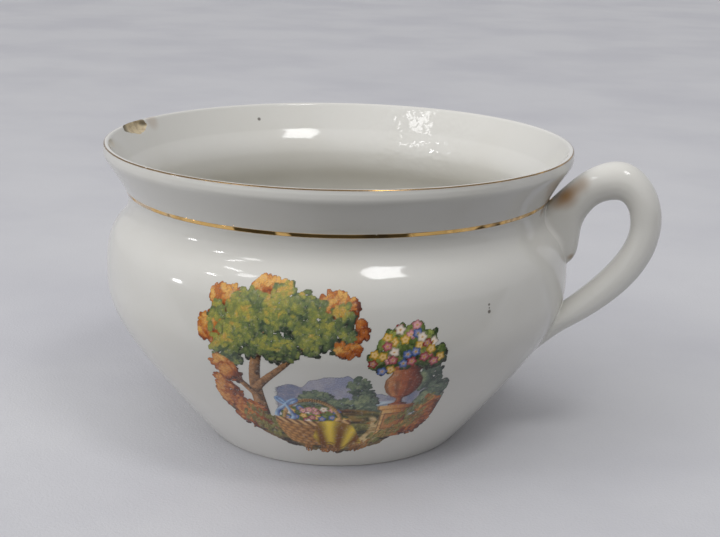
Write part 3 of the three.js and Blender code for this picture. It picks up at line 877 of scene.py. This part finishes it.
def makeVignette():
    # rows spread evenly up the wall and columns round it, with side walls along the cut's edges
    z = np.linspace(vignette["low"], vignette["high"], 400)
    run = along(wallPoint(vignette["azimuth"], z))
    y = np.arange(0, run[-1], vignette["step"])
    x = np.arange(-vignette["width"] / 2, vignette["width"] / 2, vignette["step"])
    height = np.interp(y, run, z)
    x, y = np.meshgrid(x, y)
    azimuth = vignette["azimuth"] + np.degrees(x / pot["bellyRadius"])
    colour, cover = paintVignette(x, y)
    rows, columns = x.shape
    painted = cover > vignette["least"]
    cells = painted[1:, 1:] | painted[:-1, 1:] | painted[1:, :-1] | painted[:-1, :-1]
    cells[[0, -1], :] = cells[:, [0, -1]] = False
    for _ in range(6):  # no two cells touch at a corner alone
        a, b, c, d = cells[:-1, :-1], cells[1:, 1:], cells[1:, :-1], cells[:-1, 1:]
        lone = (a & b & ~c & ~d) | (c & d & ~a & ~b)
        for corner in (a, b, c, d):
            corner |= lone
    number = np.arange(rows * columns).reshape(rows, columns)
    corners = np.stack([number[:-1, :-1], number[:-1, 1:], number[1:, 1:], number[1:, :-1]], -1)
    top = corners[cells]
    under = top[:, ::-1] + rows * columns
    pad = np.pad(cells, 1)
    bare = [~pad[:-2, 1:-1], ~pad[1:-1, 2:], ~pad[2:, 1:-1], ~pad[1:-1, :-2]]
    sides = []
    for k in range(4):
        edge = corners[cells & bare[k]]
        a, b = edge[:, k], edge[:, (k + 1) % 4]
        sides.append(np.stack([b, a, a + rows * columns, b + rows * columns], 1))
    faces = np.concatenate([top, under] + sides)
    levels = vignette["proud"], -vignette["sunk"]
    layers = [wallPoint(azimuth, height[:, None], out).reshape(-1, 3) for out in levels]
    used, faces = np.unique(faces, return_inverse=True)
    colour = np.concatenate([colour, np.ones(colour.shape[:2] + (1,))], -1).reshape(-1, 4)
    colour, cover = np.tile(colour, (2, 1)), np.tile(cover.ravel(), 2)
    fields = {"print": colour[used], "cover": cover[used]}
    return addMesh("gardenVignette", np.concatenate(layers)[used], faces.reshape(-1, 4), (), fields)


gardenVignette = onBody(makeVignette(), "print", "printed_vignette")
print("vignette made")

# Materials


class Wire:
    # a socket of a material: sums and products of it add Math nodes
    def __init__(self, tree, socket=None):
        self.tree, self.socket = tree, socket

    def node(self, kind, settings=None, sockets=None, out=0):
        # a node of that type: its settings first, then the values or links of its sockets
        new = self.tree.nodes.new("ShaderNode" + kind)
        for key, value in (settings or {}).items():
            setattr(new, key, value)
        for key, value in (sockets or {}).items():
            if isinstance(value, Wire):
                self.tree.links.new(value.socket, new.inputs[key])
            else:
                new.inputs[key].default_value = value
        return Wire(self.tree, new.outputs[out] if len(new.outputs) else None)

    def maths(self, operation, *values):
        return self.node("Math", {"operation": operation}, dict(enumerate(values)))

    def __add__(self, other):
        return self.maths("ADD", self, other)

    def __sub__(self, other):
        return self.maths("SUBTRACT", self, other)

    def __rsub__(self, other):
        return self.maths("SUBTRACT", other, self)

    def __mul__(self, other):
        return self.maths("MULTIPLY", self, other)

    __radd__, __rmul__ = __add__, __mul__

    def between(self, low, high):
        # 0 at low and 1 at high, soft at both
        return self.node("MapRange", {"interpolation_type": "SMOOTHSTEP"}, {0: self, 1: low, 2: high})

    def top(self, other):
        return self.maths("MAXIMUM", self, other)

    def measure(self, operation, other):
        # a number from two vectors, such as their dot product
        return self.node("VectorMath", {"operation": operation}, {0: self, 1: other}, "Value")

    def near(self, spot, radius, fringe):
        # for a place: 1 within the radius of a spot and 0 beyond its soft edge, from lengths in mm
        gap = self.measure("DISTANCE", tuple(v / 1000 for v in spot))
        return 1 - gap.between(radius * (1 - fringe) / 1000, radius * (1 + fringe) / 1000)

    def noise(self, scale, detail, roughness):
        sockets = {"Vector": self, "Scale": scale, "Detail": detail, "Roughness": roughness}
        return self.node("TexNoise", None, sockets)

    def bump(self, distance, strength):
        # a surface direction from a height
        return self.node("Bump", None, {"Height": self, "Distance": distance, "Strength": strength})

    def attribute(self, name, out="Fac"):
        return self.node("Attribute", {"attribute_name": name}, out=out)

    def mix(self, factor, a, b):
        # from colour a to colour b
        a, b = (c if isinstance(c, Wire) else (*c, 1.0) for c in (a, b))
        return self.node("Mix", {"data_type": "RGBA"}, {0: factor, 6: a, 7: b}, 2)


def emptied(block):
    # the empty node tree of a new material or world
    block.use_nodes = True
    block.node_tree.nodes.clear()
    return Wire(block.node_tree)


def startMaterial(name):
    material = bpy.data.materials.new(name)
    wire = emptied(material)
    return material, wire, wire.node("TexCoord", out="Object")


def finishMaterial(wire, sockets):
    surface = wire.node("BsdfPrincipled", None, sockets)
    wire.node("OutputMaterial", None, {"Surface": surface})


def dress(material, *pieces):
    for piece in pieces:
        piece.data.materials.append(material)


glaze = {
    "colour": (0.68, 0.67, 0.63),
    "deep": (0.62, 0.60, 0.54),  # where it lies thick, and painted shade deeper inside towards the floor
    "biscuit": (0.66, 0.56, 0.38),
    "oldClay": (0.46, 0.37, 0.25),
    "stainAndShadowBrown": (0.34, 0.20, 0.09),
    "roughness": 0.07,
    "ripple": 0.35,
    "rippled": (24, 100, 127),  # where the glaze inside lies in small waves, and their reach
    "rippleReach": 30,
    "stainsAndTipShadow": (  # x, y, z in mm, radius in mm, strength: brown stains, and one painted shadow at the spur's tip
        (106.5, -10, 123, 6, 1),
        (102, -12, 119, 4.5, 0.9),
        (98.5, -15.5, 116.5, 3, 0.6),
        (113, -9, 128, 4.5, 0.5),
        # painted shadow: a dark dot at the spur's tip, where it meets the wall
        (112.3, -4, 91.5, 1.9, 1),
        (-103.5, 26.5, 138.5, 4, 0.3),
    ),
    "specks": (  # burnt specks and pinholes
        (-63.7, 82.3, 132.6, 0.9),
        (82.8, -72.4, 87.1, 0.6),
        (82.9, -72.3, 84, 0.8),
        (82.9, -72.3, 85.6, 0.4),
        (98, -19, 114.2, 0.7),
        (98.2, -19, 112.8, 0.6),
        (98.5, -19, 111.4, 0.5),
        (107.5, -10.5, 107.6, 0.9),
        (131.5, -8, 137.3, 0.8),
    ),
    "chipDark": (  # the break's dark ends
        (-107.6, -1, 139.5, 6, 0.85),
        (-107, 22, 139.2, 3.2, 0.8),
    ),
}


def makeGlaze():
    # white glaze: faint clouds with painted shade deeper inside, fine speckle, a bare foot ring,
    # stains at the joint, a painted shadow at the spur's tip and a porous break
    material, wire, place = startMaterial("whiteGlaze")
    cloud = place.noise(16, 3, 0.55)
    fine = place.noise(900, 2, 0.6)
    height = wire.node("SeparateXYZ", None, {"Vector": place}, "Z")
    inside = wire.attribute("inside")
    broken = wire.attribute("broken").between(0.3, 0.7)
    # random clouds of thicker glaze, and painted shade that deepens inside the pot from 125 mm down to
    # 30 mm
    thickGlazeAndInnerShade = cloud.between(0.42, 0.66) * 0.35 + inside * (1 - height.between(0.03, 0.125)) * 0.55
    colour = wire.mix(thickGlazeAndInnerShade, glaze["colour"], glaze["deep"])
    colour = wire.mix(fine.between(0.60, 0.74) * 0.05, colour, (0.42, 0.38, 0.31))
    cell = {"Vector": place, "Scale": 62, "Randomness": 1}
    gap = wire.node("TexVoronoi", None, cell, "Distance")
    chosen = wire.node("TexVoronoi", None, cell, "Color")
    chosen = wire.node("SeparateColor", None, {"Color": chosen}, "Red")
    speck = (1 - gap.between(0.012, 0.026)) * chosen.between(0.78, 0.82)
    colour = wire.mix(speck * 0.55, colour, (0.20, 0.15, 0.10))
    # brown stains, and the painted shadow at the spur's tip, in the same brown
    for *spot, radius, strength in glaze["stainsAndTipShadow"]:
        patch = place.near(spot, radius, 0.6) * cloud.between(0.25, 0.5) * strength
        colour = wire.mix(patch, colour, glaze["stainAndShadowBrown"])
    for *spot, radius in glaze["specks"]:
        colour = wire.mix(place.near(spot, radius, 0.35) * 0.8, colour, (0.09, 0.07, 0.055))
    grain = place.noise(420, 5, 0.65)
    bare = wire.mix(grain.between(0.30, 0.60), glaze["oldClay"], glaze["biscuit"])
    for *spot, radius, strength in glaze["chipDark"]:
        bare = wire.mix(place.near(spot, radius, 0.4) * strength, bare, (0.16, 0.14, 0.10))
    ring = 1 - height.between(0.0001, 0.0004)
    colour = wire.mix(ring, colour, (0.56, 0.50, 0.40))
    colour = wire.mix(broken, colour, bare)
    rough = ring.top(broken)
    wave = place.noise(75, 2, 0.4)
    small = place.noise(190, 1, 0.5)
    waves = small * place.near(glaze["rippled"], glaze["rippleReach"], 0.5) * inside * 3.2
    level = (wave * glaze["ripple"] + waves) * (1 - rough) + grain * rough * 2.2
    bump = level.bump(0.0003, 0.5)
    roughness = glaze["roughness"] + fine.between(0.4, 0.8) * 0.05 + rough * 0.8
    finishMaterial(wire, {"Base Color": colour, "Roughness": roughness, "Normal": bump, "IOR": 1.5})
    return material


gilt = {
    "gold": (0.86, 0.55, 0.20),
    "dull": (0.30, 0.20, 0.10),
    "roughness": 0.05,
    "rim": (0.08, 0.2, 0),  # wear, tarnish, unevenness
    "band": (0, -0.08, 1.5),
}


def makeGilt(name, wear, tarnish, uneven):
    # burnished gold that has dulled in streaks and rubbed through to the glaze in places
    material, wire, place = startMaterial(name)
    streak = place.noise(46, 4, 0.6)
    rub = place.noise(330, 3, 0.7)
    dulled = streak.between(0.40 - tarnish, 0.66 - tarnish)
    gone = (rub + streak * 0.5).between(0.98 - wear, 1.06 - wear)
    colour = wire.mix(dulled, gilt["gold"], gilt["dull"])
    colour = wire.mix(gone, colour, glaze["colour"])
    broad = place.noise(50, 1, 0.4)
    bump = (rub * 0.005 + broad * uneven).bump(0.005, 1)
    finishMaterial(wire, {
        "Base Color": colour,
        "Metallic": 1 - gone,
        "Roughness": gilt["roughness"] + dulled * 0.12 + rub * 0.04,
        "Normal": bump,
    })
    return material


def makePrint():
    # enamel colours under a clear flux, with the plate's fine dots, thin at the edges of each patch
    material, wire, place = startMaterial("printedEnamel")
    colour = wire.attribute("print", "Color")
    cover = wire.attribute("cover")
    plate = {"Vector": place, "Scale": 1500, "Randomness": 0.55}
    dot = wire.node("TexVoronoi", None, plate, "Distance")
    tooth = place.noise(800, 3, 0.6)
    light = wire.node("RGBToBW", None, {"Color": colour})
    dots = dot.between(0.25, 0.62) * (1 - light.between(0.35, 0.75)) * 0.30
    colour = wire.mix(dots, colour, (0.10, 0.07, 0.06))
    colour = wire.mix(tooth.between(0.52, 0.72) * 0.22, colour, (0.66, 0.60, 0.50))
    alpha = (cover + (tooth - 0.5) * 0.5).between(0.25, 0.6)
    bump = tooth.bump(0.00005, 0.4)
    finishMaterial(wire, {
        "Base Color": colour,
        "Alpha": alpha,
        "Roughness": glaze["roughness"] + 0.05 + tooth * 0.08,
        "Normal": bump,
        "IOR": 1.5,
    })
    return material


dress(makeGlaze(), potShell, handleLoop)
dress(makeGilt("rubbedGold", *gilt["rim"]), rimLine)
dress(makeGilt("bandGold", *gilt["band"]), neckBand)
dress(makePrint(), gardenVignette)
print("materials made")

# Floor, lights and camera

studio = {
    "floorColour": (0.60, 0.60, 0.62),
    "floorReach": 9000,
    "clothEdge": (0.12, 0.145),  # metres towards the camera, where it ends for what the pot mirrors
    "clothFade": (0.13, 0.20),  # and for the light that it receives
    "beyond": (0.03, 0.03, 0.03),
    "zenith": (0.52, 0.52, 0.535),
    "low": (0.06, 0.06, 0.06),
    "glow": (1.42, 1.42, 1.44),  # the broad soft light of the room's windows, and where it comes from
    "glowFrom": (-122, 44),
    # name, azimuth and elevation of where it stands, distance and size in metres, watts
    "lamps": (
        ("window", -43, 59, 1.7, (0.40, 0.34), 4.4),
        ("leftWindow", -129.5, 43, 2.2, (0.3, 0.28), 1.7),
        ("sideLampLow", -156, 4, 1.8, (0.16, 0.08), 1),
        ("sideLampMiddle", -144, 30, 1.8, (0.16, 0.05), 1),
        ("sideLampHigh", -144, 48.5, 1.8, (0.28, 0.05), 0.6),
    ),
    "cameraAt": (145.05, -629.46, 259.40),
    "cameraTurn": 12,
    "cameraFall": 15.792,
    "cameraRoll": 1.295,
    "lens": 69.24,
}


def makeFloor():
    # rings that spread by a constant factor, so that the floor is fine near the pot
    rows, columns, z = 60, 128, -0.02
    radius = np.geomspace(20, studio["floorReach"], rows)[:, None]
    azimuth = np.arange(columns)[None, :] * 360 / columns
    points = polar(radius, azimuth, np.full((rows, columns), z)).reshape(-1, 3)
    points = np.concatenate([points, [[0, 0, z]]])
    middle = fan(np.arange(columns), rows * columns)
    return addMesh("floorCloth", points, gridFaces(rows, columns)[:, ::-1], middle)


def makeCloth():
    # pale cloth, which what the pot mirrors and receives meets only up to its front edge
    material, wire, place = startMaterial("paleCloth")
    broad = place.noise(5, 4, 0.5)
    weave = place.noise(700, 2, 0.7)
    r, g, b = studio["floorColour"]
    colour = wire.mix(broad.between(0.35, 0.7), (r, g, b), (r * 0.9, g * 0.9, b * 0.92))
    colour = wire.mix(weave.between(0.45, 0.7) * 0.12, colour, (r * 0.8, g * 0.8, b * 0.8))
    toCamera = Vector(studio["cameraAt"][:2]).normalized()
    ahead = place.measure("DOT_PRODUCT", (*toCamera, 0))
    mirrored = ahead.between(*studio["clothEdge"]) * wire.node("LightPath", out="Is Glossy Ray")
    received = ahead.between(*studio["clothFade"]) * wire.node("LightPath", out="Is Diffuse Ray")
    colour = wire.mix(mirrored.top(received), colour, studio["beyond"])
    bump = (broad * 6 + weave * 0.3).bump(0.002, 0.35)
    finishMaterial(wire, {"Base Color": colour, "Roughness": 0.85, "Normal": bump})
    return material


floorCloth = makeFloor()
dress(makeCloth(), floorCloth)


def heading(azimuth, elevation):
    # the direction towards a place in the room
    a, e = math.radians(azimuth), math.radians(elevation)
    return Vector((math.cos(a) * math.cos(e), math.sin(a) * math.cos(e), math.sin(e)))


def spun(turn, tilt, roll):
    # turned about the upright axis after being tipped forward and rolled about its own axis
    turn, tilt, roll = map(math.radians, (turn, tilt, roll))
    tipped = Matrix.Rotation(turn, 4, "Z") @ Matrix.Rotation(tilt, 4, "X")
    return tipped @ Matrix.Rotation(roll, 4, "Z")


def hangLamp(name, azimuth, elevation, distance, size, power):
    # a flat lamp that faces a point 0.1 m over the table
    lamp = bpy.data.lights.new(name, "AREA")
    lamp.shape, lamp.size, lamp.size_y, lamp.energy = "RECTANGLE", *size, power
    hung = Matrix.Translation(heading(azimuth, elevation) * distance + Vector((0, 0, 0.1)))
    addObject(name, lamp).matrix_world = hung @ spun(azimuth + 90, 90 - elevation, 0)


for row in studio["lamps"]:
    hangLamp(*row)

world = bpy.data.worlds.new("paleRoom")
bpy.context.scene.world = world
room = emptied(world)
direction = room.node("TexCoord", out="Generated")
upward = room.node("SeparateXYZ", None, {"Vector": direction}, "Z")
facing = direction.measure("DOT_PRODUCT", heading(*studio["glowFrom"]))
shade = room.mix(upward.between(-0.15, 1.0), studio["low"], studio["zenith"])
shade = room.mix(facing.between(0.35, 1.0), shade, studio["glow"])
seen = room.node("LightPath", out="Is Camera Ray")
for kind in ("Is Glossy Ray", "Is Transmission Ray"):
    seen = seen.top(room.node("LightPath", out=kind))
shade = room.mix(seen, shade, studio["floorColour"])
sky = room.node("Background", None, {"Color": shade, "Strength": 1.0})
room.node("OutputWorld", None, {"Surface": sky})

camera = bpy.data.cameras.new("photoCamera")
camera.lens, camera.sensor_width, camera.clip_start, camera.clip_end = studio["lens"], 36, 0.01, 30
viewer = addObject("photoCamera", camera)
stand = Matrix.Translation(Vector(studio["cameraAt"]) / 1000)
fall, roll = studio["cameraFall"], studio["cameraRoll"]
viewer.matrix_world = stand @ spun(studio["cameraTurn"], 90 - fall, roll)
bpy.context.scene.camera = viewer
bpy.context.scene.view_settings.view_transform = "Standard"
print("lights and camera set")
